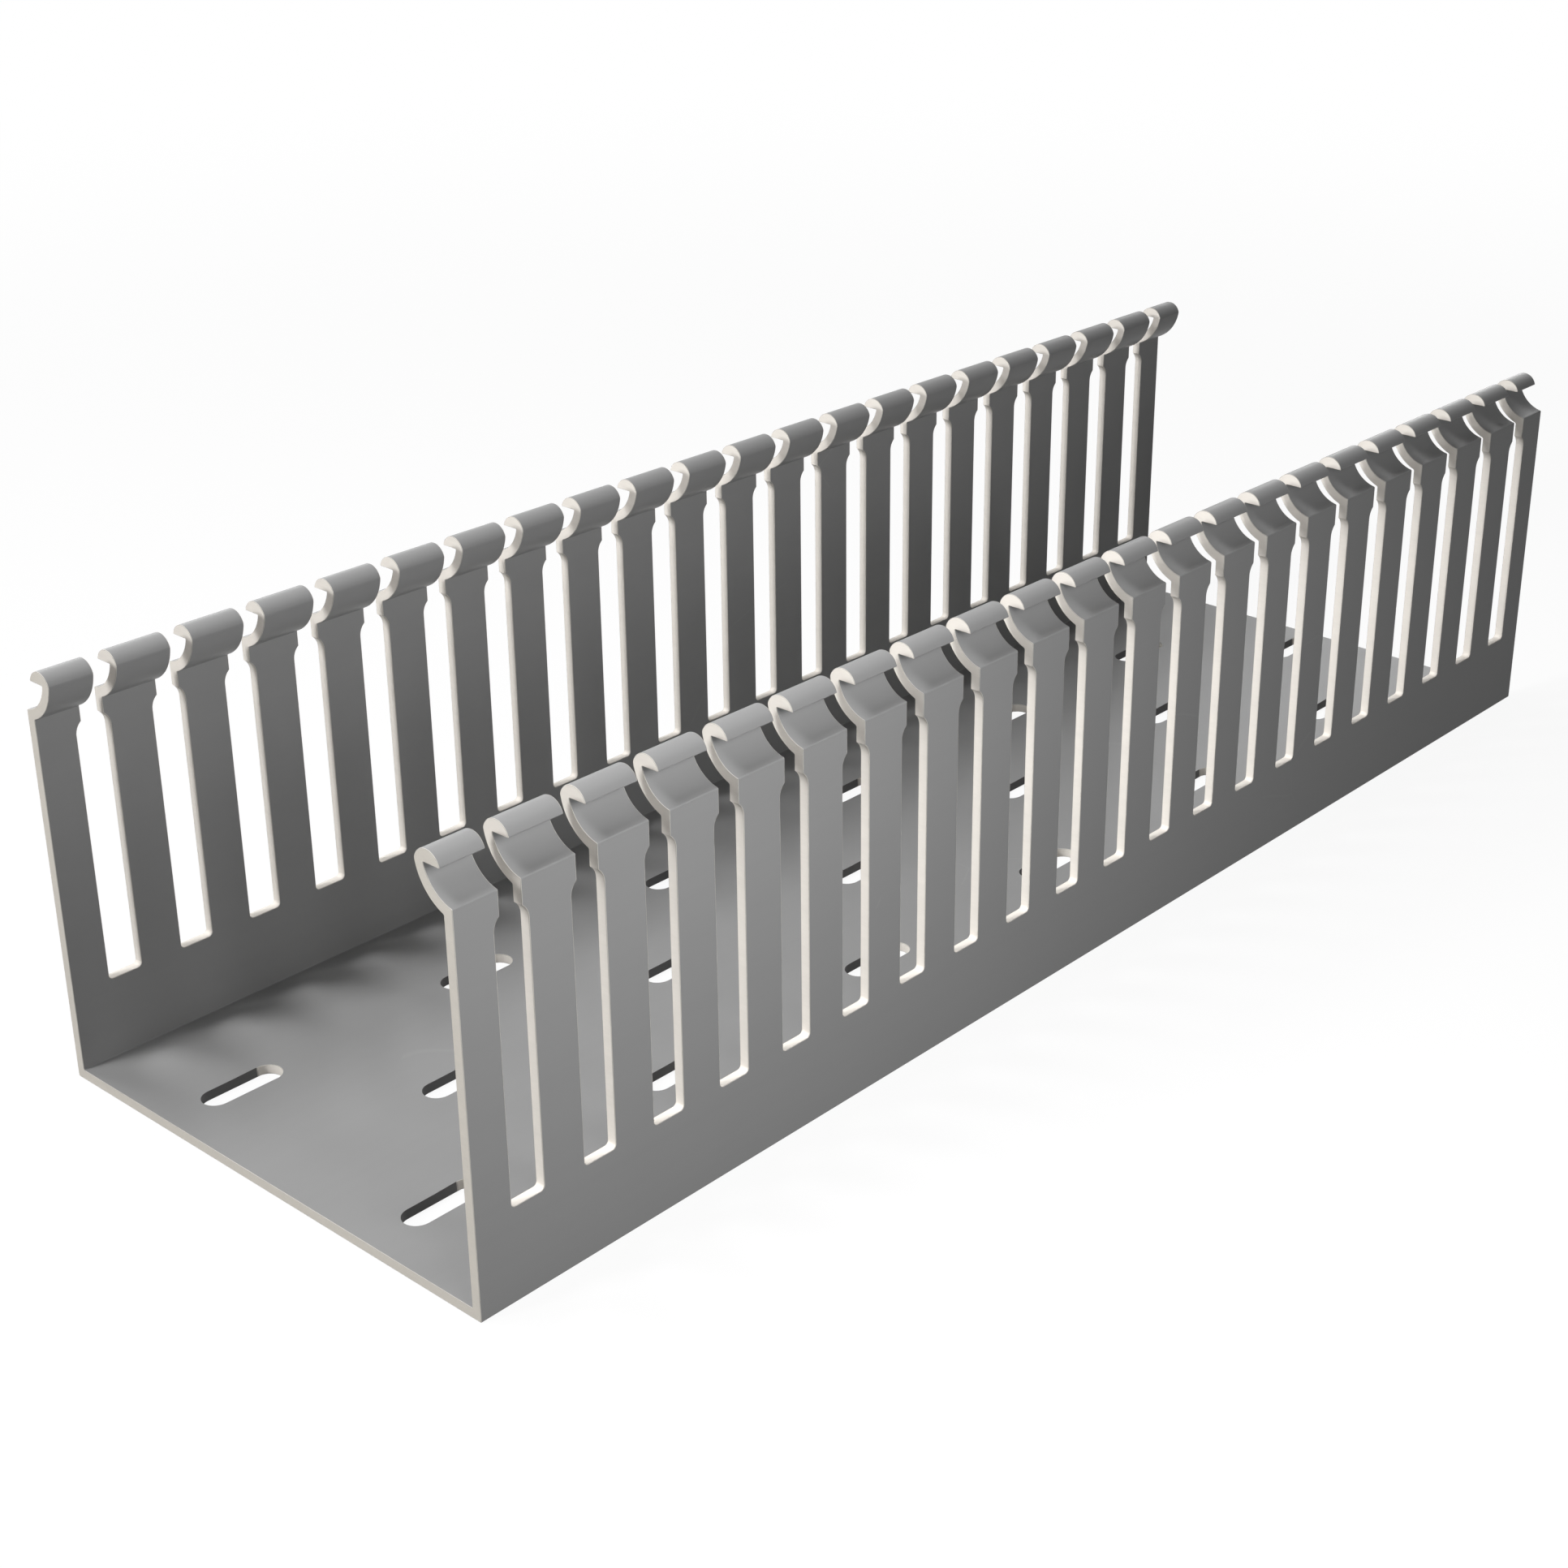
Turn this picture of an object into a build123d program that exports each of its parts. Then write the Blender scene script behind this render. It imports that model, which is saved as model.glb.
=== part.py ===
"""Slotted wire duct: one length of extruded PVC channel with punched side walls and base.

Millimetres, +Z up. The duct runs along X and stands on its base. The origin is on the
underside of the base, in the middle of its length and width. The first wall slot and the
first base slots are at the -X end.
"""

import os
from math import acos, degrees, hypot, sqrt

from build123d import *

# Channel
length = 304.8
width = 101.6
height = 74.35
wall_thickness = 1.8
base_thickness = 1.75

# Snap rail along the top of each wall, measured inwards from the wall's outer face
web_radius = 6.7
web_centre_in = -1.14
web_centre_rise = 1.76
crown_radius = 2.68
crown_centre_in = 4.68
lip_rise = 0.52

# Wall slots: a wide slot that narrows to a neck, open at the top
slot_pitch = 14.245
first_slot = 10.1
slot_width = 6.3
neck_width = 4.1
slot_floor = 16.1
slot_corner_radius = 0.75
shoulder_drop = 4.15
shoulder_radius = 2.8
shortest_end_finger = 3.0

# Base slots: three rows, the middle row set half a pitch along
base_slot_length = 15.2
base_slot_width = 5.2
base_slot_pitch = 50.8
base_row_spacing = 25.4
first_base_slot = 14.6
shortest_base_edge = 2.0

# Worked out from the sizes above
half_width = width / 2
crown_height = height - crown_radius
web_height = crown_height + web_centre_rise
lip_height = crown_height + lip_rise
web_back_radius = web_radius + wall_thickness
neck_floor = web_height - sqrt(web_radius**2 - web_centre_in**2) - shoulder_drop


def below_centre(radius, centre_in, centre_height, distance_in):
    """Height of an arc's lower half at a distance in from the wall's outer face."""
    return centre_height - sqrt(radius**2 - (distance_in - centre_in) ** 2)


def inside_centre(radius, centre_in, centre_height, level):
    """Distance in of an arc's inner half at a given height."""
    return centre_in + sqrt(radius**2 - (level - centre_height) ** 2)


def crossing(centre_a, radius_a, centre_b, radius_b):
    """Point where two arcs meet, on the side that faces into the duct."""
    run = centre_b[0] - centre_a[0]
    rise = centre_b[1] - centre_a[1]
    gap = hypot(run, rise)
    along = (gap**2 + radius_a**2 - radius_b**2) / (2 * gap)
    across = sqrt(radius_a**2 - along**2)
    return (
        centre_a[0] + (along * run - across * rise) / gap,
        centre_a[1] + (along * rise + across * run) / gap,
    )


def spread(first, pitch, margin):
    """Places along X, one pitch apart from the -X end, that leave the margin at the +X end."""
    count = int((length - first - margin) / pitch) + 1
    return [first + pitch * index - length / 2 for index in range(count)]


# Corners of the right wall's section, with x as the distance in from its outer face
web_centre = (web_centre_in, web_height)
crown_centre = (crown_centre_in, crown_height)
outer_kink = (0, below_centre(web_radius, web_centre_in, web_height, 0))
inner_kink = (wall_thickness, below_centre(web_back_radius, web_centre_in, web_height, wall_thickness))
recess_corner = (inside_centre(web_radius, web_centre_in, web_height, lip_height), lip_height)
lip_tip = (crown_centre_in - sqrt(crown_radius**2 - lip_rise**2), lip_height)
rail_joint = crossing(web_centre, web_back_radius, crown_centre, crown_radius)
crown_top = (crown_centre_in, height)


def on_arc(centre, radius, start, end):
    """Middle point of the short arc between two points."""
    half = ((start[0] + end[0]) / 2 - centre[0], (start[1] + end[1]) / 2 - centre[1])
    reach = radius / hypot(*half)
    return (centre[0] + half[0] * reach, centre[1] + half[1] * reach)


def at(point):
    """A section point as Y and Z of the right wall."""
    return (point[0] - half_width, point[1])


# One wall slot, with its axis on local x = 0
slot_half = slot_width / 2
neck_half = neck_width / 2
shoulder_turn = degrees(acos(1 - (slot_half - neck_half) / shoulder_radius))
shoulder_rise = sqrt(shoulder_radius**2 - (shoulder_radius - slot_half + neck_half) ** 2)
shoulder_floor = neck_floor - shoulder_rise

with BuildSketch() as wall_slot:
    with BuildLine():
        shoulder = JernArc((slot_half, shoulder_floor), (0, 1), shoulder_radius, shoulder_turn)
        Polyline(shoulder @ 1, (neck_half, height + crown_radius), (0, height + crown_radius))
        Polyline((0, slot_floor), (slot_half, slot_floor), shoulder @ 0)
        mirror(about=Plane.YZ)
    make_face()
    fillet(wall_slot.vertices().group_by(Axis.Y)[0].sort_by(Axis.X)[0::2], slot_corner_radius)

wall_slots = spread(first_slot, slot_pitch, slot_half + shortest_end_finger)
base_margin = base_slot_length / 2 + shortest_base_edge
outer_row = spread(first_base_slot, base_slot_pitch, base_margin)
middle_row = spread(first_base_slot + base_slot_pitch / 2, base_slot_pitch, base_margin)

with BuildPart() as duct_channel:
    with BuildSketch(Plane.YZ.offset(-length / 2)):
        with BuildLine():
            Polyline((0, base_thickness), (0, 0), (-half_width, 0), at(outer_kink))
            web_middle = on_arc(web_centre, web_radius, outer_kink, recess_corner)
            ThreePointArc(at(outer_kink), at(web_middle), at(recess_corner))
            Line(at(recess_corner), at(lip_tip))
            ThreePointArc(at(lip_tip), at(crown_top), at(rail_joint))
            back_middle = on_arc(web_centre, web_back_radius, rail_joint, inner_kink)
            ThreePointArc(at(rail_joint), at(back_middle), at(inner_kink))
            Polyline(at(inner_kink), (wall_thickness - half_width, base_thickness), (0, base_thickness))
        make_face()
        mirror(about=Plane.YZ)
    extrude(amount=length)
    with BuildSketch(Plane.XZ):
        with Locations([(place, 0) for place in wall_slots]):
            add(wall_slot.sketch)
    extrude(amount=width, both=True, mode=Mode.SUBTRACT)
    with BuildSketch():
        with Locations([(place, side * base_row_spacing) for place in outer_row for side in (-1, 1)]):
            SlotOverall(base_slot_length, base_slot_width)
        with Locations([(place, 0) for place in middle_row]):
            SlotOverall(base_slot_length, base_slot_width)
    extrude(amount=base_thickness, mode=Mode.SUBTRACT)

duct_channel.part.label = "duct_channel"

os.makedirs("parts", exist_ok=True)
export_step(duct_channel.part, "parts/duct_channel.step")
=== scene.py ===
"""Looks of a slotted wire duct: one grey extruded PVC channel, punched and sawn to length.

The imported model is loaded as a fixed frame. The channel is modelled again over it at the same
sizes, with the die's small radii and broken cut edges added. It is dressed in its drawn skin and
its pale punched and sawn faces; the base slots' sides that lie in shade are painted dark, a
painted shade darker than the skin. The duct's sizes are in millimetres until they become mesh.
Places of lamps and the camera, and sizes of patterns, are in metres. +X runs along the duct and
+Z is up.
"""

import logging
import math
from collections.abc import Callable
from dataclasses import dataclass
from enum import IntEnum

import bmesh
import bpy
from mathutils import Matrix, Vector


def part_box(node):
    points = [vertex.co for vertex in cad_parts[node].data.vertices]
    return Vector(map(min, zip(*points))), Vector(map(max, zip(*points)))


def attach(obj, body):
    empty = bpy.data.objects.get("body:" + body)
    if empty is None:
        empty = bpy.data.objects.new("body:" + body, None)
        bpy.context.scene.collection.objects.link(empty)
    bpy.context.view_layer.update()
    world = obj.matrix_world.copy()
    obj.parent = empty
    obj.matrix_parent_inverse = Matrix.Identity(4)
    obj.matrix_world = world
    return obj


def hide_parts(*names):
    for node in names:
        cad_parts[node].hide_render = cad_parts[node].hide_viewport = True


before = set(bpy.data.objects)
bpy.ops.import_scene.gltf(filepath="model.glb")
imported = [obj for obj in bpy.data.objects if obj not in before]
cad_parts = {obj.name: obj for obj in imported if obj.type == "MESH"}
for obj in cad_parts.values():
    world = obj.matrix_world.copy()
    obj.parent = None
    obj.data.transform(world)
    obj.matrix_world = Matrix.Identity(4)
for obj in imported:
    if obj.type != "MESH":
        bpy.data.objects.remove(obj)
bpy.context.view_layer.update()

Point = tuple[float, float]
Place = tuple[float, float, float]
Colour = tuple[float, float, float]
Node = bpy.types.Node
NodeTree = bpy.types.NodeTree
Socket = bpy.types.NodeSocket

MM = 0.001
ZERO = Vector((0.0, 0.0, 0.0))
WHITE = (1.0, 1.0, 1.0, 1.0)
QUARTER_TURN = 90.0
HALF_TURN = 180.0

# In millimetres: how close two points of an outline, or two that a cut leaves, are merged.
MERGE_DISTANCE = 0.002
SLIVER = 0.012

# Parts of a unit normal: over the first a face is square to that axis, under the second along it.
SQUARE_ON = 0.99
ALONG = 0.02

# How far a scratch wanders, in metres, and its width as a share of its spacing.
SCRATCH_BEND = 0.012
SCRATCH_WIDTH = 0.006

log = logging.getLogger("wire_duct")


class Face(IntEnum):
    """The finishes of the channel, in the order of its material slots."""

    SKIN = 0
    PUNCHED = 1
    SAWN = 2
    EDGE = 3
    # Base slot sides that face away from the lamps; their finish is a painted shade, darker than
    # the skin.
    SLOT_SIDE = 4


def shader_node(
    tree: NodeTree, kind: str, values: dict | None = None, **settings: object
) -> Node:
    """Adds one shader node.

    Args:
        tree: the material's or group's node tree.
        kind: the node's type, such as "ShaderNodeMath".
        values: an input's name or number, to a plain value or to the output socket that feeds it.
        settings: the node's own properties.

    Returns:
        The new node.
    """
    node = tree.nodes.new(kind)
    for name, value in settings.items():
        setattr(node, name, value)
    for name, value in (values or {}).items():
        if isinstance(value, Socket):
            tree.links.new(value, node.inputs[name])
        else:
            node.inputs[name].default_value = value
    return node


def maths(tree: NodeTree, operation: str, *terms: float | Socket) -> Socket:
    """Adds a Math node on these terms and returns its output."""
    values = dict(enumerate(terms))
    return shader_node(tree, "ShaderNodeMath", values, operation=operation).outputs[0]


def vector_maths(tree: NodeTree, operation: str, *terms: Place | Socket) -> Socket:
    """Adds a Vector Math node on these terms and returns its vector."""
    values = dict(enumerate(terms))
    return shader_node(tree, "ShaderNodeVectorMath", values, operation=operation).outputs[0]


def ramp(tree: NodeTree, value: Socket, low: float, high: float) -> Socket:
    """Adds a smooth step of a value from 0 at low to 1 at high, and returns its output."""
    values = {"Value": value, "From Min": low, "From Max": high}
    settings = {"interpolation_type": "SMOOTHSTEP"}
    return shader_node(tree, "ShaderNodeMapRange", values, **settings).outputs[0]


def about(tree: NodeTree, value: Socket, middle: float, swing: float) -> Socket:
    """Turns a value about 0.5 into one with this middle and swing, and returns its output."""
    return maths(tree, "MULTIPLY_ADD", value, swing, middle - swing / 2)


def new_group(
    name: str, inputs: dict[str, float | Vector], outputs: list[str]
) -> tuple[NodeTree, Node, Node]:
    """Starts a shader node group.

    Args:
        name: the group's name.
        inputs: each input's name and default; a Vector makes a vector socket.
        outputs: the names of its value outputs.

    Returns:
        The group, the node that holds its inputs and the node that takes its outputs.
    """
    group = bpy.data.node_groups.new(name, "ShaderNodeTree")
    for label, default in inputs.items():
        kind = "NodeSocketVector" if isinstance(default, Vector) else "NodeSocketFloat"
        socket = group.interface.new_socket(label, in_out="INPUT", socket_type=kind)
        socket.default_value = default
    for label in outputs:
        group.interface.new_socket(label, in_out="OUTPUT", socket_type="NodeSocketFloat")
    return group, group.nodes.new("NodeGroupInput"), group.nodes.new("NodeGroupOutput")


@dataclass(frozen=True)
class Noise:
    """A noise texture's own values.

    Attributes:
        detail: how many finer layers it has.
        roughness: how strong each finer layer is.
        scale: how fine it is, where no socket says so.
    """

    detail: float
    roughness: float = 0.5
    scale: float = 1.0

    def add(self, tree: NodeTree, vector: Socket, scale: Socket | None = None) -> Node:
        """Adds the texture.

        Args:
            tree: the group's node tree.
            vector: the coordinates that it reads.
            scale: the socket that says how fine it is, if one does.

        Returns:
            The texture's node.
        """
        values = {
            "Vector": vector,
            "Scale": self.scale if scale is None else scale,
            "Detail": self.detail,
            "Roughness": self.roughness,
        }
        return shader_node(tree, "ShaderNodeTexNoise", values)


FINE_LINES = Noise(detail=4.0, roughness=0.6)
BROAD_LINES = Noise(detail=2.0, scale=0.17)
CLOUDS = Noise(detail=5.0, roughness=0.55)
SCRATCH_WANDER = Noise(detail=2.0)
SCRATCH_PATCHES = Noise(detail=1.0)


def tool_lines_group() -> NodeTree:
    """Makes the group for the fine lines that a die, punch or saw leaves.

    Its Squeeze input is the lines per metre along each axis, low along the lines and high across
    them. Height and Tone are 0 to 1 about a middle of 0.5, Tone the broader of the two.

    Returns:
        The node group.
    """
    inputs = {"Vector": ZERO, "Squeeze": ZERO}
    group, given, made = new_group("tool_lines", inputs, ["Height", "Tone"])
    squeezed = vector_maths(group, "MULTIPLY", given.outputs["Vector"], given.outputs["Squeeze"])
    for output, noise in (("Height", FINE_LINES), ("Tone", BROAD_LINES)):
        group.links.new(noise.add(group, squeezed).outputs[0], made.inputs[output])
    return group


def cloud_group() -> NodeTree:
    """Makes the group for the faint cloudiness of the plastic, as a value about 1.

    Returns:
        The node group, with a Size in metres and a Contrast.
    """
    inputs = {"Vector": ZERO, "Size": 0.02, "Contrast": 0.04}
    group, given, made = new_group("plastic_clouds", inputs, ["Shade"])
    scale = maths(group, "DIVIDE", 1.0, given.outputs["Size"])
    noise = CLOUDS.add(group, given.outputs["Vector"], scale)
    swing = maths(group, "SUBTRACT", noise.outputs[0], 0.5)
    shade = maths(group, "MULTIPLY_ADD", swing, given.outputs["Contrast"], 1.0)
    group.links.new(shade, made.inputs["Shade"])
    return group


def scuff_group() -> NodeTree:
    """Makes the group for hair-thin handling scratches, as a mask that is 1 in a scratch.

    Returns:
        The node group, with the Size of the scratches in metres and how many there are.
    """
    inputs = {"Vector": ZERO, "Size": 0.03, "Amount": 0.4}
    group, given, made = new_group("handling_scuffs", inputs, ["Mask"])
    place = given.outputs["Vector"]
    scale = maths(group, "DIVIDE", 1.0, given.outputs["Size"])
    wander = SCRATCH_WANDER.add(group, place, scale).outputs["Color"]
    bend = vector_maths(group, "MULTIPLY", wander, (SCRATCH_BEND, SCRATCH_BEND, SCRATCH_BEND))
    bent = vector_maths(group, "ADD", place, bend)
    cells = shader_node(
        group, "ShaderNodeTexVoronoi", {"Vector": bent, "Scale": scale}, feature="DISTANCE_TO_EDGE"
    )
    thin = ramp(group, cells.outputs["Distance"], SCRATCH_WIDTH, 0.0)
    patches = SCRATCH_PATCHES.add(group, place, scale).outputs[0]
    bare = maths(group, "SUBTRACT", 1.0, given.outputs["Amount"])
    kept = maths(group, "GREATER_THAN", patches, bare)
    group.links.new(maths(group, "MULTIPLY", thin, kept), made.inputs["Mask"])
    return group


class ShaderKit:
    """The node groups that several finishes share, each built once."""

    def __init__(self) -> None:
        """Builds the groups."""
        self.lines = tool_lines_group()
        self.clouds = cloud_group()
        self.scuffs = scuff_group()

    def use(self, tree: NodeTree, group: NodeTree, values: dict[str, float | Place]) -> Node:
        """Places a group in a material on its Object coordinates.

        Args:
            tree: the material's node tree.
            values: the group's own values in this material.

        Returns:
            The group node.
        """
        place = shader_node(tree, "ShaderNodeTexCoord")
        node = shader_node(tree, "ShaderNodeGroup", node_tree=group)
        tree.links.new(place.outputs["Object"], node.inputs["Vector"])
        for name, value in values.items():
            node.inputs[name].default_value = value
        return node


def tinted(tree: NodeTree, colour: Colour, *shades: Socket) -> Socket:
    """Multiplies a colour by one or more shades, and returns the colour's output."""
    product = shades[0]
    for shade in shades[1:]:
        product = maths(tree, "MULTIPLY", product, shade)
    values = {0: colour, "Scale": product}
    return shader_node(tree, "ShaderNodeVectorMath", values, operation="SCALE").outputs[0]


def bumped(tree: NodeTree, shader: Node, height: Socket, depth: float) -> None:
    """Feeds a shader's Normal from a height of this depth in millimetres."""
    values = {"Height": height, "Distance": depth * MM, "Strength": 1.0}
    bump = shader_node(tree, "ShaderNodeBump", values)
    tree.links.new(bump.outputs[0], shader.inputs["Normal"])


def plastic(name: str, gloss: float) -> tuple[bpy.types.Material, NodeTree, Node]:
    """Starts a material and returns it with its node tree and its Principled BSDF."""
    material = bpy.data.materials.new(name)
    material.use_nodes = True
    shader = material.node_tree.nodes["Principled BSDF"]
    shader.inputs["Specular IOR Level"].default_value = gloss
    return material, material.node_tree, shader


@dataclass(frozen=True)
class SkinFinish:
    """The semi-matt skin that the die leaves, with hair lines along the duct.

    Attributes:
        colour: the plastic's colour.
        roughness: the skin's middle roughness.
        gloss: how strongly the skin reflects.
        squeeze: the die's lines per metre along each axis.
        line_depth: depth of the lines in millimetres.
        line_contrast: how far the lines swing the shade.
        line_roughness: how far they swing the roughness.
        cloud_size: size of the plastic's clouds in metres.
        cloud_contrast: how far the clouds swing the shade.
        scuff_size: spacing of the scratches in metres.
        scuff_amount: how many scratches there are, from 0 to 1.
        scuff_shade: how much paler a scratch is.
        scuff_roughness: how much rougher a scratch is.
    """

    colour: Colour = (0.30, 0.30, 0.30)
    roughness: float = 0.38
    gloss: float = 0.1
    squeeze: Place = (4.0, 2600.0, 2600.0)
    line_depth: float = 0.004
    line_contrast: float = 0.035
    line_roughness: float = 0.08
    cloud_size: float = 0.035
    cloud_contrast: float = 0.05
    scuff_size: float = 0.045
    scuff_amount: float = 0.35
    scuff_shade: float = 0.06
    scuff_roughness: float = 0.12

    def material(self, kit: ShaderKit) -> bpy.types.Material:
        """Builds the skin's material.

        Args:
            kit: the shared node groups.

        Returns:
            The material.
        """
        made, tree, shader = plastic("duct_skin", self.gloss)
        lines = kit.use(tree, kit.lines, {"Squeeze": self.squeeze})
        size, contrast = self.cloud_size, self.cloud_contrast
        clouds = kit.use(tree, kit.clouds, {"Size": size, "Contrast": contrast})
        scuffs = kit.use(tree, kit.scuffs, {"Size": self.scuff_size, "Amount": self.scuff_amount})
        tone, scratch = lines.outputs["Tone"], scuffs.outputs["Mask"]
        drawn = about(tree, tone, 1.0, self.line_contrast)
        worn = maths(tree, "MULTIPLY_ADD", scratch, self.scuff_shade, 1.0)
        colour = tinted(tree, self.colour, drawn, clouds.outputs["Shade"], worn)
        tree.links.new(colour, shader.inputs["Base Color"])
        rough = about(tree, tone, self.roughness, self.line_roughness)
        rough = maths(tree, "MULTIPLY_ADD", scratch, self.scuff_roughness, rough)
        tree.links.new(rough, shader.inputs["Roughness"])
        bumped(tree, shader, lines.outputs["Height"], self.line_depth)
        return made


@dataclass(frozen=True)
class CutFinish:
    """A face that a tool has cut through the plastic, with the tool's lines.

    Attributes:
        name: the material's name.
        squeeze: the tool's lines per metre along each axis.
        colour: the face's colour; most tools whiten the plastic.
        roughness: the face's middle roughness.
        gloss: how strongly it reflects.
        line_depth: depth of the lines in millimetres.
        line_contrast: how far the lines swing the shade.
        line_roughness: how far they swing the roughness.
        cloud_size: size of the plastic's clouds in metres.
        cloud_contrast: how far the clouds swing the shade.
    """

    name: str
    squeeze: Place
    colour: Colour = (0.80, 0.76, 0.705)
    roughness: float = 0.6
    gloss: float = 0.15
    line_depth: float = 0.02
    line_contrast: float = 0.08
    line_roughness: float = 0.15
    cloud_size: float = 0.004
    cloud_contrast: float = 0.06

    def material(self, kit: ShaderKit) -> bpy.types.Material:
        """Builds the cut face's material.

        Args:
            kit: the shared node groups.

        Returns:
            The material.
        """
        made, tree, shader = plastic(self.name, self.gloss)
        lines = kit.use(tree, kit.lines, {"Squeeze": self.squeeze})
        size, contrast = self.cloud_size, self.cloud_contrast
        clouds = kit.use(tree, kit.clouds, {"Size": size, "Contrast": contrast})
        height = lines.outputs["Height"]
        fine = about(tree, height, 1.0, self.line_contrast)
        broad = about(tree, lines.outputs["Tone"], 1.0, self.line_contrast)
        colour = tinted(tree, self.colour, fine, broad, clouds.outputs["Shade"])
        tree.links.new(colour, shader.inputs["Base Color"])
        rough = about(tree, height, self.roughness, self.line_roughness)
        tree.links.new(rough, shader.inputs["Roughness"])
        bumped(tree, shader, height, self.line_depth)
        return made


def only(obj: bpy.types.Object) -> None:
    """Deselects everything and makes this object the one that operators act on."""
    if bpy.context.object and bpy.context.object.mode != "OBJECT":
        bpy.ops.object.mode_set(mode="OBJECT")
    bpy.ops.object.select_all(action="DESELECT")
    obj.select_set(True)
    bpy.context.view_layer.objects.active = obj


def apply_modifier(obj: bpy.types.Object, name: str, kind: str, **settings: object) -> None:
    """Adds a modifier with these settings and applies it.

    Args:
        obj: the piece.
        name: the modifier's name.
        kind: the modifier's type, such as "ARRAY".
        settings: the modifier's own properties.
    """
    only(obj)
    modifier = obj.modifiers.new(name, kind)
    for label, value in settings.items():
        setattr(modifier, label, value)
    bpy.ops.object.modifier_apply(modifier=modifier.name)


def spread(piece: bpy.types.Object, step: Vector, count: int) -> None:
    """Repeats a piece count times, one step in millimetres apart."""
    apply_modifier(
        piece,
        "row",
        "ARRAY",
        count=count,
        use_relative_offset=False,
        use_constant_offset=True,
        constant_offset_displace=step * MM,
    )


def round_edges(
    obj: bpy.types.Object, chosen: Callable[[bmesh.types.BMEdge], bool], **settings: float
) -> None:
    """Bevels the edges that are chosen, with the round profile that a bevel has by itself.

    Args:
        obj: the piece.
        chosen: says whether an edge is rounded.
        settings: the bevel's own settings.
    """
    only(obj)
    bpy.ops.object.mode_set(mode="EDIT")
    bpy.ops.mesh.select_mode(type="EDGE")
    bpy.ops.mesh.select_all(action="DESELECT")
    mesh = bmesh.from_edit_mesh(obj.data)
    for edge in mesh.edges:
        edge.select = chosen(edge)
    mesh.select_flush_mode()
    bmesh.update_edit_mesh(obj.data)
    bpy.ops.mesh.bevel(offset_type="OFFSET", clamp_overlap=False, **settings)
    bpy.ops.object.mode_set(mode="OBJECT")


@dataclass
class ProfilePen:
    """Traces an outline in a plane by extruding and spinning one vertex.

    Attributes:
        name: the name of the piece that the outline becomes.
        across: the direction of the outline's first coordinate.
        up: the direction of its second coordinate.
        origin: the place of its zero, in millimetres.
        here: the point of the outline where the pen stands.
    """

    name: str
    across: Vector
    up: Vector
    origin: Vector
    here: Point = (0.0, 0.0)

    def place(self, point: Point) -> Vector:
        """The scene's place of a point of the outline, in metres."""
        return (self.origin + self.across * point[0] + self.up * point[1]) * MM

    def start(self, point: Point) -> None:
        """Puts down the first vertex, which is a small plane merged to its centre."""
        bpy.ops.object.select_all(action="DESELECT")
        bpy.ops.mesh.primitive_plane_add(size=MM, location=self.place(point))
        bpy.context.object.name = self.name
        bpy.ops.object.transform_apply(location=True, rotation=True, scale=True)
        bpy.ops.object.mode_set(mode="EDIT")
        bpy.ops.mesh.select_mode(type="VERT")
        bpy.ops.mesh.select_all(action="SELECT")
        bpy.ops.mesh.merge(type="CENTER")
        self.here = point

    def line(self, *points: Point) -> None:
        """Draws straight on through these points."""
        for point in points:
            step = self.place(point) - self.place(self.here)
            bpy.ops.mesh.extrude_region_move(TRANSFORM_OT_translate={"value": step})
            self.here = point

    def arc(self, centre: Point, turn: float, steps: int) -> None:
        """Draws on round a centre.

        Args:
            centre: the arc's centre in the outline's plane.
            turn: the angle in degrees, positive from the first coordinate's axis to the second's.
            steps: the number of straight runs.
        """
        axis = self.up.cross(self.across)
        angle = math.radians(turn)
        bpy.ops.mesh.spin(steps=steps, angle=angle, center=self.place(centre), axis=axis)
        reach = (self.here[0] - centre[0], self.here[1] - centre[1])
        self.here = (
            centre[0] + reach[0] * math.cos(angle) - reach[1] * math.sin(angle),
            centre[1] + reach[0] * math.sin(angle) + reach[1] * math.cos(angle),
        )

    def close(self, sweep: Vector) -> bpy.types.Object:
        """Mirrors the half outline, fills it and sweeps it into a solid.

        Args:
            sweep: the sweep in millimetres.

        Returns:
            The solid's object.
        """
        bpy.ops.mesh.select_all(action="SELECT")
        bpy.ops.mesh.duplicate()
        flip = [1.0 - 2.0 * abs(part) for part in self.across]
        bpy.ops.transform.resize(value=flip, center_override=self.origin * MM)
        bpy.ops.mesh.select_all(action="SELECT")
        bpy.ops.mesh.remove_doubles(threshold=MERGE_DISTANCE * MM)
        bpy.ops.mesh.edge_face_add()
        bpy.ops.mesh.extrude_region_move(TRANSFORM_OT_translate={"value": sweep * MM})
        bpy.ops.mesh.select_all(action="SELECT")
        bpy.ops.mesh.normals_make_consistent(inside=False)
        bpy.ops.object.mode_set(mode="OBJECT")
        return bpy.context.object


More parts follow.
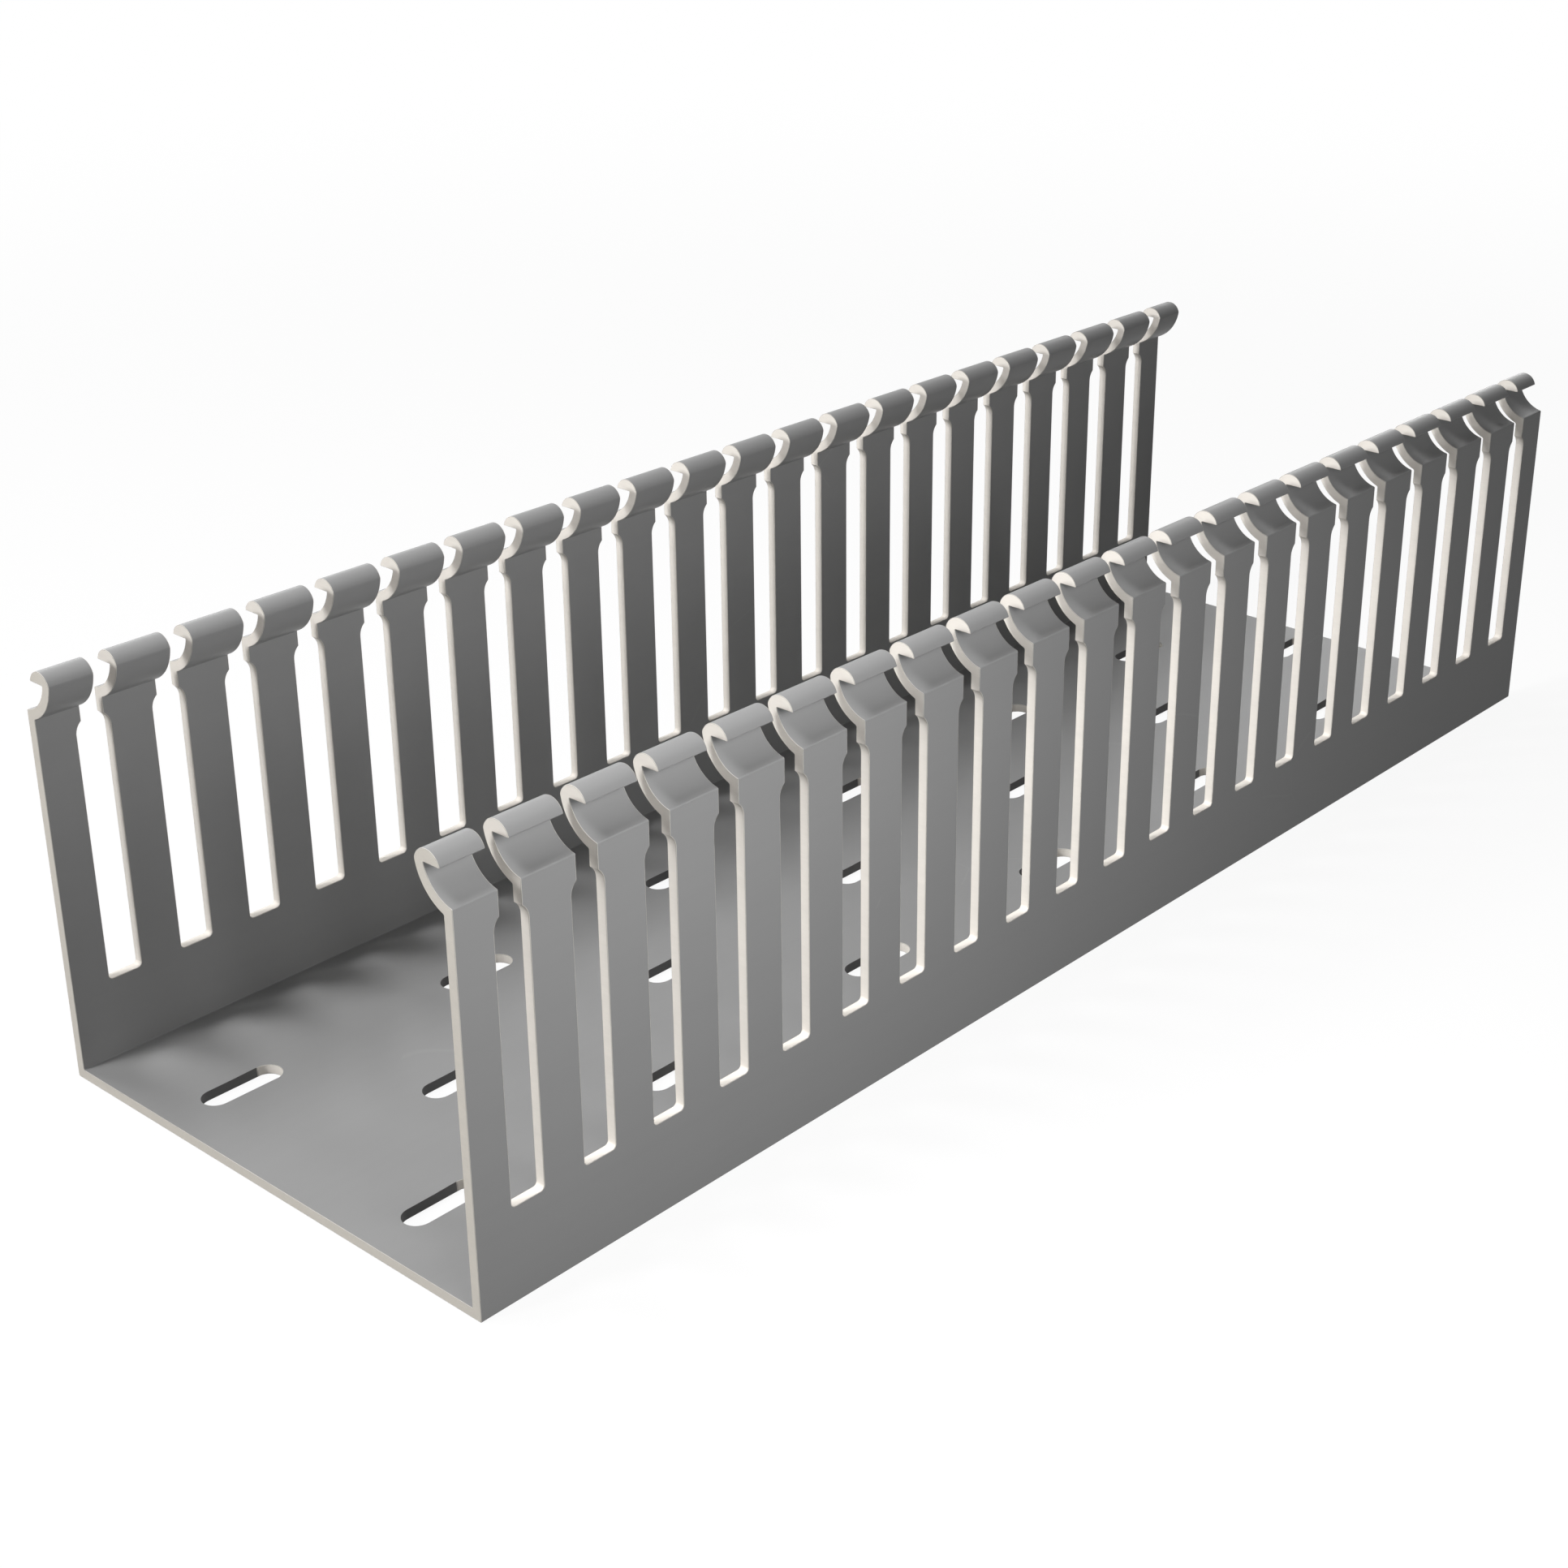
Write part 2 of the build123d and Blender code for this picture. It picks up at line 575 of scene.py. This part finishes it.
@dataclass
class WallRail:
    """The curl along the top of a wall, with distances measured in from the wall's outer face.

    Attributes:
        height: height of the crown's top above the underside.
        wall: thickness of the wall and the web.
        web_radius: radius of the web's outer face.
        web_centre_in: how far in its centre lies.
        web_centre_rise: how far its centre lies above the crown's.
        crown_radius: radius of the crown.
        crown_centre_in: how far in the crown's centre lies.
        lip_rise: how far the crown's lip lies above the crown's centre.
        web_steps: straight runs along each face of the web.
        crown_steps: straight runs round the crown.
    """

    height: float = 74.35
    wall: float = 1.8
    web_radius: float = 6.7
    web_centre_in: float = -1.14
    web_centre_rise: float = 1.76
    crown_radius: float = 2.68
    crown_centre_in: float = 4.68
    lip_rise: float = 0.52
    web_steps: int = 14
    crown_steps: int = 30

    @property
    def crown_centre(self) -> Point:
        """Centre of the round crown."""
        return (self.crown_centre_in, self.height - self.crown_radius)

    @property
    def web_centre(self) -> Point:
        """Centre that the web's two faces curl round."""
        return (self.web_centre_in, self.height - self.crown_radius + self.web_centre_rise)

    @property
    def back_radius(self) -> float:
        """Radius of the web's inner face."""
        return self.web_radius + self.wall

    @property
    def kink_height(self) -> float:
        """Height where the outer face turns in under the rail."""
        return self.web_centre[1] - math.sqrt(self.web_radius**2 - self.web_centre_in**2)

    @property
    def inner_kink(self) -> Point:
        """Point where the inner face turns in under the rail."""
        run = self.wall - self.web_centre_in
        return (self.wall, self.web_centre[1] - math.sqrt(self.back_radius**2 - run**2))

    @property
    def lip(self) -> Point:
        """Point where the crown's lip ends, at the top of the cover's groove."""
        run = math.sqrt(self.crown_radius**2 - self.lip_rise**2)
        return (self.crown_centre[0] - run, self.crown_centre[1] + self.lip_rise)

    def rail_joint(self) -> Point:
        """Point on the inner side where the web's back meets the crown."""
        run = self.crown_centre[0] - self.web_centre[0]
        rise = self.crown_centre[1] - self.web_centre[1]
        gap = math.hypot(run, rise)
        along = (gap**2 + self.back_radius**2 - self.crown_radius**2) / (2 * gap)
        across = math.sqrt(self.back_radius**2 - along**2)
        return (
            self.web_centre[0] + (along * run - across * rise) / gap,
            self.web_centre[1] + (along * rise + across * run) / gap,
        )

    @staticmethod
    def bearing(centre: Point, point: Point) -> float:
        """Angle in degrees from a centre to a point."""
        return math.degrees(math.atan2(point[1] - centre[1], point[0] - centre[0]))

    def sweep(self, centre: Point, start: Point, end: Point) -> float:
        """Angle in degrees from one point to another round a centre."""
        return self.bearing(centre, end) - self.bearing(centre, start)

    def trace(self, pen: ProfilePen, outer_face: float) -> None:
        """Draws the rail from the outer kink to the inner kink.

        Args:
            pen: the pen, which stands at the outer kink.
            outer_face: where the wall's outer face lies along the pen's first coordinate.
        """
        web, crown, joint = self.web_centre, self.crown_centre, self.rail_joint()
        recess = -math.degrees(math.asin((web[1] - self.lip[1]) / self.web_radius))
        web_placed = (web[0] + outer_face, web[1])
        crown_placed = (crown[0] + outer_face, crown[1])
        kink = self.bearing(web, (0.0, self.kink_height))
        pen.arc(web_placed, recess - kink, self.web_steps)
        pen.line((self.lip[0] + outer_face, self.lip[1]))
        pen.arc(crown_placed, self.sweep(crown, self.lip, joint), self.crown_steps)
        pen.arc(web_placed, self.sweep(web, joint, self.inner_kink), self.web_steps)


@dataclass
class WallSlot:
    """A wide wall slot that narrows to a neck and is open at the top.

    Attributes:
        pitch: distance between neighbouring slots.
        first: the first slot's middle from the channel's -X end.
        count: slots along a wall.
        half_slot: half the slot's width.
        half_neck: half the neck's width.
        floor: height of the slot's lower end above the underside.
        corner_radius: radius of its lower corners.
        shoulder_drop: how far under the kink the shoulders end in the neck.
        shoulder_radius: radius of the shoulders.
        run_out: how far a punch runs out of the channel.
        corner_steps: straight runs round a lower corner.
        shoulder_steps: straight runs round a shoulder.
    """

    pitch: float = 14.245
    first: float = 10.1
    count: int = 21
    half_slot: float = 3.15
    half_neck: float = 2.05
    floor: float = 16.1
    corner_radius: float = 0.75
    shoulder_drop: float = 4.15
    shoulder_radius: float = 2.8
    run_out: float = 4.0
    corner_steps: int = 6
    shoulder_steps: int = 7

    def punch(self, channel_low: float, half_width: float, rail: WallRail) -> bpy.types.Object:
        """Makes the row of punches that cut the slots of both walls.

        Args:
            channel_low: the channel's -X end.
            half_width: half the channel's width.
            rail: the rail that the necks pass through.

        Returns:
            The punches as one object.
        """
        reach = half_width + self.run_out
        origin = Vector((channel_low + self.first, -reach, 0))
        pen = ProfilePen("wall_punch", Vector((1, 0, 0)), Vector((0, 0, 1)), origin)
        narrowing = (self.half_slot - self.half_neck) / self.shoulder_radius
        turn = math.degrees(math.acos(1 - narrowing))
        drop = self.shoulder_radius * math.sin(math.radians(turn))
        shoulder = rail.kink_height - self.shoulder_drop - drop
        corner, top = self.half_slot - self.corner_radius, rail.height + self.run_out
        pen.start((0.0, self.floor))
        pen.line((corner, self.floor))
        pen.arc((corner, self.floor + self.corner_radius), QUARTER_TURN, self.corner_steps)
        pen.line((self.half_slot, shoulder))
        pen.arc((self.half_slot - self.shoulder_radius, shoulder), turn, self.shoulder_steps)
        pen.line((self.half_neck, top), (0.0, top))
        punch = pen.close(Vector((0, 2 * reach, 0)))
        spread(punch, Vector((self.pitch, 0, 0)), self.count)
        return punch


@dataclass
class BaseSlot:
    """An oblong screw slot in the base, in three rows with the middle one half a pitch on.

    Attributes:
        length: the slot's length over its round ends.
        width: its width.
        pitch: distance between neighbouring slots of a row.
        row_spacing: distance between neighbouring rows.
        first: the outer rows' first slot's middle from the channel's -X end.
        count: slots in a row.
        round_steps: straight runs round each end.
        punch_height: a punch's height in thicknesses of the base; it starts one under the base.
    """

    length: float = 15.2
    width: float = 5.2
    pitch: float = 50.8
    row_spacing: float = 25.4
    first: float = 14.6
    count: int = 6
    round_steps: int = 14
    punch_height: float = 3.0

    def punch(self, first: float, thickness: float, rows: int) -> bpy.types.Object:
        """Makes the punches for one or two rows.

        Args:
            first: the first slot's middle along X.
            thickness: the base's thickness.
            rows: 1 for the middle row, or 2 for the outer rows.

        Returns:
            The punches as one object.
        """
        side = -self.row_spacing if rows == 2 else 0.0
        origin = Vector((first, side, -thickness))
        pen = ProfilePen("base_punch", Vector((1, 0, 0)), Vector((0, 1, 0)), origin)
        radius = self.width / 2
        centre = self.length / 2 - radius
        pen.start((0.0, -radius))
        pen.line((centre, -radius))
        pen.arc((centre, 0.0), HALF_TURN, self.round_steps)
        pen.line((0.0, radius))
        punch = pen.close(Vector((0, 0, self.punch_height * thickness)))
        spread(punch, Vector((self.pitch, 0, 0)), self.count)
        spread(punch, Vector((0, 2 * self.row_spacing, 0)), rows)
        return punch


@dataclass
class DuctChannel:
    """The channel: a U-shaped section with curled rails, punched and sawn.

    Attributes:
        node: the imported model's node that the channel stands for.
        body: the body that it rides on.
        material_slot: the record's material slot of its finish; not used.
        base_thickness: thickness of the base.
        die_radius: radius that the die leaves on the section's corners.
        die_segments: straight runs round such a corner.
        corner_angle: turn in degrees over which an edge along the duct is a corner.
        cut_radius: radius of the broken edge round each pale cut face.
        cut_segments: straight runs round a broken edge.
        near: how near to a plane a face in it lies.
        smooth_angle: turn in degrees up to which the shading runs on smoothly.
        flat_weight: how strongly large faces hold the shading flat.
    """

    node: str = "duct_channel"
    body: str = "root"
    material_slot: str = "duct_pvc"
    base_thickness: float = 1.75
    die_radius: float = 0.2
    die_segments: int = 3
    corner_angle: float = 20.0
    cut_radius: float = 0.11
    cut_segments: int = 2
    near: float = 0.05
    smooth_angle: float = 40.0
    flat_weight: int = 60

    def __post_init__(self) -> None:
        """Takes the overall sizes from the frame."""
        low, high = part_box(self.node)
        self.low_x = low[0] / MM
        self.length = (high[0] - low[0]) / MM
        self.half_width = (high[1] - low[1]) / 2 / MM
        self.rail = WallRail(height=high[2] / MM)
        self.wall_slot = WallSlot()
        self.base_slot = BaseSlot()

    def build(self, finishes: list[bpy.types.Material]) -> bpy.types.Object:
        """Builds the channel and dresses it.

        Args:
            finishes: the materials in the order of Face.

        Returns:
            The finished piece.
        """
        channel = self.extrusion()
        self.round_corners(channel)
        for finish in finishes:
            channel.data.materials.append(finish)
        self.cut(channel, self.wall_slot.punch(self.low_x, self.half_width, self.rail))
        start = self.low_x + self.base_slot.first
        self.cut(channel, self.base_slot.punch(start, self.base_thickness, rows=2))
        start = self.low_x + (self.base_slot.first + self.base_slot.pitch / 2)
        self.cut(channel, self.base_slot.punch(start, self.base_thickness, rows=1))
        for face in channel.data.polygons:
            face.material_index = self.finish_at(face.center, face.normal)
        self.break_edges(channel)
        self.smooth(channel)
        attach(channel, self.body)
        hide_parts(self.node)
        return channel

    def extrusion(self) -> bpy.types.Object:
        """Traces the section at the -X end and sweeps it to the full length.

        Returns:
            The channel before it is punched.
        """
        origin = Vector((self.low_x, 0, 0))
        pen = ProfilePen("duct_body", Vector((0, 1, 0)), Vector((0, 0, 1)), origin)
        face = -self.half_width
        pen.start((0.0, 0.0))
        pen.line((face, 0.0), (face, self.rail.kink_height))
        self.rail.trace(pen, face)
        inner = face + self.rail.wall
        pen.line((inner, self.base_thickness), (0.0, self.base_thickness))
        return pen.close(Vector((self.length, 0, 0)))

    @staticmethod
    def cut(channel: bpy.types.Object, punch: bpy.types.Object) -> None:
        """Cuts the punch out of the channel and removes it.

        Args:
            channel: the channel.
            punch: the punches, which are used up.
        """
        settings = {"operation": "DIFFERENCE", "solver": "EXACT", "object": punch}
        apply_modifier(channel, "punch", "BOOLEAN", **settings)
        bpy.data.objects.remove(punch, do_unlink=True)
        bpy.ops.object.mode_set(mode="EDIT")
        bpy.ops.mesh.select_all(action="SELECT")
        bpy.ops.mesh.remove_doubles(threshold=SLIVER * MM)
        bpy.ops.object.mode_set(mode="OBJECT")

    def finish_at(self, centre: Vector, normal: Vector) -> Face:
        """Says which finish a face has.

        Args:
            centre: the face's centre in metres.
            normal: its unit normal.

        Returns:
            The finish.
        """
        near = self.near * MM
        ends = (self.low_x * MM, (self.low_x + self.length) * MM)
        rows = (self.base_slot.row_spacing + self.base_slot.width) * MM
        at_end = min(abs(centre.x - end) for end in ends) < near
        in_base = centre.z < self.base_thickness * MM and abs(centre.y) < rows
        at_slot_floor = abs(centre.z - self.wall_slot.floor * MM) < near
        if at_end and abs(normal.x) > SQUARE_ON:
            return Face.SAWN
        # Base slot sides that face along Y or towards +X lie in shade, so they get the dark finish
        # of painted shade.
        if in_base and abs(normal.z) < ALONG and normal.x > -ALONG:
            return Face.SLOT_SIDE
        if abs(normal.x) > ALONG or (at_slot_floor and normal.z > SQUARE_ON):
            return Face.PUNCHED
        return Face.SKIN

    def round_corners(self, channel: bpy.types.Object) -> None:
        """Rounds the section's sharp corners, as the die leaves them."""
        long, sharp = self.length * MM / 2, math.radians(self.corner_angle)
        round_edges(
            channel,
            lambda edge: edge.calc_length() > long and edge.calc_face_angle(0.0) > sharp,
            offset=self.die_radius * MM,
            segments=self.die_segments,
        )

    @staticmethod
    def at_pale_cut(edge: bmesh.types.BMEdge) -> bool:
        """Says whether an edge parts two finishes, of which at least one is a pale cut."""
        finishes = {face.material_index for face in edge.link_faces}
        return len(finishes) > 1 and finishes != {Face.SKIN, Face.SLOT_SIDE}

    def break_edges(self, channel: bpy.types.Object) -> None:
        """Rounds the edges round each pale cut face."""
        round_edges(
            channel,
            self.at_pale_cut,
            offset=self.cut_radius * MM,
            segments=self.cut_segments,
            material=Face.EDGE,
        )

    def smooth(self, channel: bpy.types.Object) -> None:
        """Shades the curves smooth and keeps the flats flat."""
        only(channel)
        bpy.ops.object.shade_smooth_by_angle(angle=math.radians(self.smooth_angle))
        settings = {"keep_sharp": True, "weight": self.flat_weight}
        apply_modifier(channel, "flats", "WEIGHTED_NORMAL", **settings)


@dataclass(frozen=True)
class SoftBox:
    """A soft area lamp.

    Attributes:
        name: the lamp's name.
        place: its place in metres.
        aim: the point in metres that it faces.
        size: its side in metres.
        power: its power in watts.
    """

    name: str
    place: Place
    aim: Place
    size: float
    power: float

    def build(self) -> None:
        """Adds the lamp."""
        bpy.ops.object.light_add(type="AREA", location=self.place)
        lamp = bpy.context.object
        lamp.name = self.name
        lamp.data.shape = "SQUARE"
        lamp.data.size = self.size
        lamp.data.energy = self.power
        lamp.visible_camera = False
        aim = Vector(self.aim) - Vector(self.place)
        lamp.rotation_euler = aim.to_track_quat("-Z", "Y").to_euler()


@dataclass
class Studio:
    """A pale floor, soft lamps, a white surround and the camera.

    Attributes:
        floor_drop: gap in millimetres between the floor and the duct's underside.
        floor_side: side of the floor in millimetres.
        floor_bounce: colour of the floor for the light that it throws back.
        floor_glow: share of plain white in the floor as it is seen near the duct; the rest keeps
            the shadow.
        shadow_reach: distances in metres over which the shadow's share fades out.
        surround_level: strength of the surround's own light; it shows white all the same.
        camera_place: the camera's place in metres.
        camera_tilt: its angle from straight down, in degrees.
        camera_turn: its turn about the vertical, in degrees.
        camera_lens: its focal length in millimetres.
        camera_sensor: width of its sensor in millimetres.
        camera_shift: the photograph's framing.
        camera_clip: nearest and farthest distance in metres that it sees.
        boxes: the soft lamps.
    """

    floor_drop: float = 0.02
    floor_side: float = 12000.0
    floor_bounce: float = 0.06
    floor_glow: float = 0.92
    shadow_reach: Point = (0.3, 0.9)
    surround_level: float = 0.015
    camera_place: Place = (-0.34131, -0.28743, 0.22479)
    camera_tilt: float = 66.176
    camera_turn: float = -48.6415
    camera_lens: float = 58.281
    camera_sensor: float = 36.0
    camera_shift: Point = (-0.0421, -0.0354)
    camera_clip: Point = (0.01, 50.0)
    boxes: tuple[SoftBox, ...] = (
        SoftBox("key_mid", (-0.1, -0.18, 0.14), (-0.1, 0.0, 0.04), 0.07, 0.125),
        SoftBox("key_near", (-0.2, -0.22, 0.1), (-0.12, 0.0, 0.04), 0.08, 0.11),
        SoftBox("key_far", (-0.06, -0.26, 0.14), (-0.05, 0.0, 0.04), 0.08, 0.12),
        SoftBox("front_low", (-1.3, 0.36, 0.6), (-0.1, 0.0, 0.04), 0.28, 11.5),
        SoftBox("front_high", (-0.26, 0.075, 0.45), (-0.1, 0.0, 0.04), 0.1, 0.76),
        SoftBox("left_high", (-0.15, 0.19, 0.45), (-0.12, 0.0, 0.0), 0.09, 0.72),
        SoftBox("back_rim", (0.3, 1.2, 0.6), (0.0, 0.0, 0.04), 0.9, 5.0),
        SoftBox("end_fill", (1.239, 0.359, 0.235), (-0.1, 0.0, 0.04), 0.7, 5.0),
    )

    def build(self) -> None:
        """Builds all of the studio."""
        self.floor()
        self.surround()
        for box in self.boxes:
            box.build()
            log.info("lamp %s", box.name)
        self.camera()

    @staticmethod
    def seen(tree: NodeTree) -> Socket:
        """Adds a mask that is 1 where the camera, gloss or glass looks."""
        path = shader_node(tree, "ShaderNodeLightPath").outputs
        both = maths(tree, "MAXIMUM", path["Is Camera Ray"], path["Is Glossy Ray"])
        return maths(tree, "MAXIMUM", both, path["Is Transmission Ray"])

    def floor_material(self) -> bpy.types.Material:
        """Makes the floor's material: white to the eye, less so near the duct, and dark to light.

        Returns:
            The material.
        """
        material = bpy.data.materials.new("pale_floor")
        material.use_nodes = True
        tree = material.node_tree
        tree.nodes.clear()
        seen = self.seen(tree)
        colour = maths(tree, "MULTIPLY_ADD", seen, 1.0 - self.floor_bounce, self.floor_bounce)
        paint = shader_node(tree, "ShaderNodeBsdfDiffuse", {"Color": colour}).outputs[0]
        glow = shader_node(tree, "ShaderNodeEmission", {"Color": WHITE, "Strength": 1.0}).outputs[0]
        place = shader_node(tree, "ShaderNodeTexCoord").outputs["Object"]
        distance = shader_node(tree, "ShaderNodeVectorMath", {0: place}, operation="LENGTH")
        far = ramp(tree, distance.outputs["Value"], *self.shadow_reach)
        white = maths(tree, "MULTIPLY_ADD", far, 1.0 - self.floor_glow, self.floor_glow)
        share = maths(tree, "MULTIPLY", seen, white)
        mixed = shader_node(tree, "ShaderNodeMixShader", {0: share, 1: paint, 2: glow})
        shader_node(tree, "ShaderNodeOutputMaterial", {"Surface": mixed.outputs[0]})
        return material

    def floor(self) -> None:
        """Lays the pale floor, which shows white and keeps the duct's shadow."""
        bpy.ops.object.select_all(action="DESELECT")
        place = (0, 0, -self.floor_drop * MM)
        bpy.ops.mesh.primitive_plane_add(size=self.floor_side * MM, location=place)
        floor = bpy.context.object
        floor.name = "studio_floor"
        floor.data.materials.append(self.floor_material())

    def surround(self) -> None:
        """Sets the world: a plain soft light that shows white to the camera."""
        world = bpy.data.worlds.new("studio_surround")
        bpy.context.scene.world = world
        world.use_nodes = True
        tree = world.node_tree
        tree.nodes.clear()
        values = {"Value": self.seen(tree), "To Min": self.surround_level, "To Max": 1.0}
        level = shader_node(tree, "ShaderNodeMapRange", values).outputs[0]
        light = shader_node(tree, "ShaderNodeBackground", {"Color": WHITE, "Strength": level})
        shader_node(tree, "ShaderNodeOutputWorld", {"Surface": light.outputs[0]})

    def camera(self) -> None:
        """Sets up the camera at the photograph's angle."""
        turn = (math.radians(self.camera_tilt), 0.0, math.radians(self.camera_turn))
        bpy.ops.object.camera_add(location=self.camera_place, rotation=turn)
        camera = bpy.context.object
        camera.data.sensor_width = self.camera_sensor
        camera.data.lens = self.camera_lens
        camera.data.shift_x, camera.data.shift_y = self.camera_shift
        camera.data.clip_start, camera.data.clip_end = self.camera_clip
        bpy.context.scene.camera = camera


def main() -> None:
    """Builds the studio and the duct in order and reports each piece."""
    logging.basicConfig(level=logging.INFO, format="%(name)s: %(message)s")
    Studio().build()
    kit = ShaderKit()
    finishes = {
        Face.SKIN: SkinFinish(),
        Face.PUNCHED: CutFinish("punched_face", squeeze=(2200.0, 250.0, 2200.0)),
        Face.SAWN: CutFinish(
            "sawn_end", squeeze=(500.0, 900.0, 2600.0), colour=(0.72, 0.68, 0.615)
        ),
        Face.EDGE: CutFinish(
            "broken_edge", squeeze=(1500.0, 1500.0, 1500.0), colour=(0.58, 0.55, 0.51)
        ),
        # The slot sides' dark grey, half the skin's colour, is painted shade, not the plastic's own
        # colour.
        Face.SLOT_SIDE: CutFinish(
            "painted_shade_slot_side", squeeze=(250.0, 2200.0, 2200.0), colour=(0.15, 0.15, 0.15)
        ),
    }
    channel = DuctChannel().build([finishes[face].material(kit) for face in Face])
    log.info("%s: %d faces", channel.name, len(channel.data.polygons))
    bpy.context.scene.view_settings.view_transform = "Standard"


if __name__ == "__main__":
    main()
